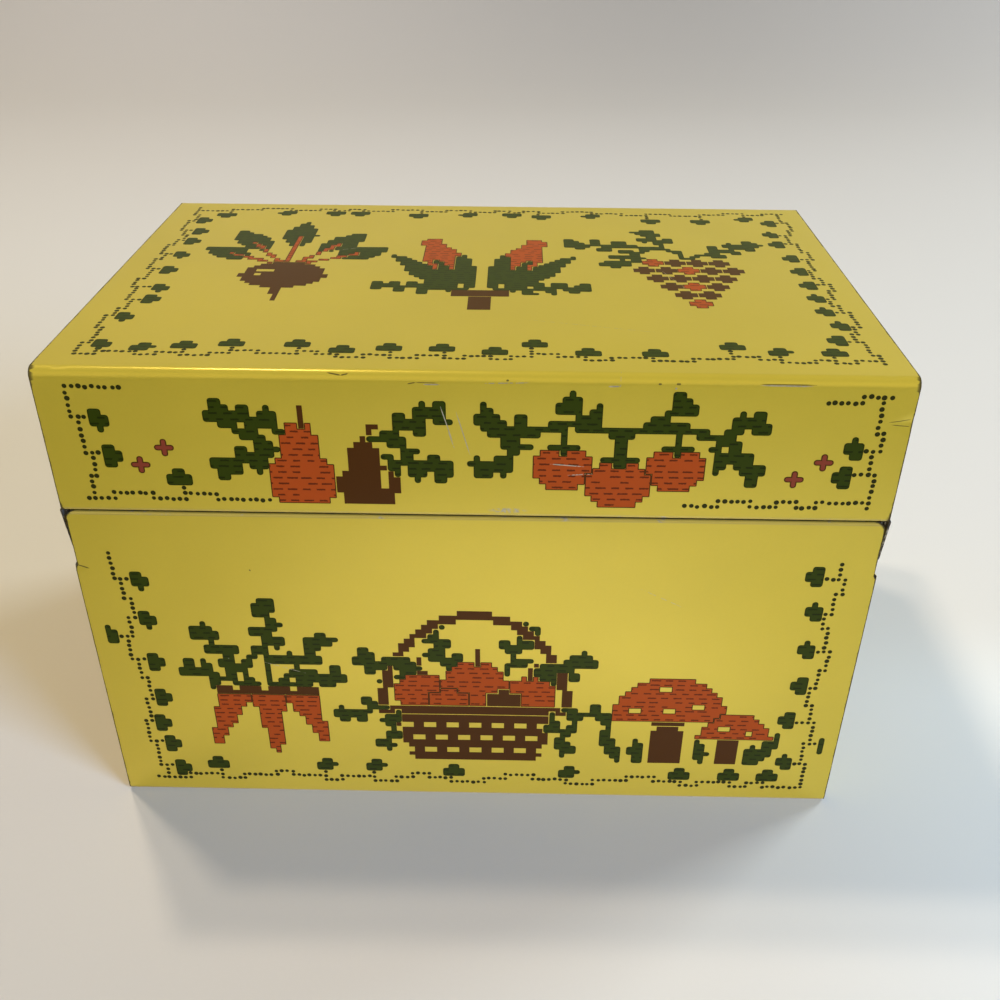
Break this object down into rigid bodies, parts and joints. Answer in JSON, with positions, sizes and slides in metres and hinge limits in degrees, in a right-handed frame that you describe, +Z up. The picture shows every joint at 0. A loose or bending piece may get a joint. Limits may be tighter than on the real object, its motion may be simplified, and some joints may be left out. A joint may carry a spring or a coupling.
{
  "type": "recipe card box",
  "caption": "Folded tinplate box for upright recipe cards, with a hinged lid whose end panels slip over a stepped-in neck.",
  "frame": {"origin": "middle of the body's base, on the face that it rests on", "axes": "+Z up, +X along the width to the right as the front is seen, +Y from the front to the hinge at the back"},
  "size_m": [0.136, 0.09, 0.09],
  "materials": {
    "yellow_enamel": "glossy printed enamel on tinplate, lightly scratched, bare tinplate on the inside",
    "bare_metal": "dull bare steel wire",
    "green_print": "glossy dark green printing ink",
    "orange_print": "glossy orange red printing ink",
    "brown_print": "glossy dark brown printing ink"
  },
  "bodies": {
    "body": {"body_strip": "yellow_enamel", "body_end_left": "yellow_enamel", "body_end_right": "yellow_enamel", "hinge_wire": "bare_metal"},
    "lid": {"lid_strip": "yellow_enamel", "lid_end_left": "yellow_enamel", "lid_end_right": "yellow_enamel"}
  },
  "joints": [
    {"name": "lid_hinge", "type": "hinge", "parent": "body", "child": "lid", "pos_m": [0, 0.04485, 0.0645], "axis": [-1, 0, 0], "range_deg": [0, 183]}
  ]
}
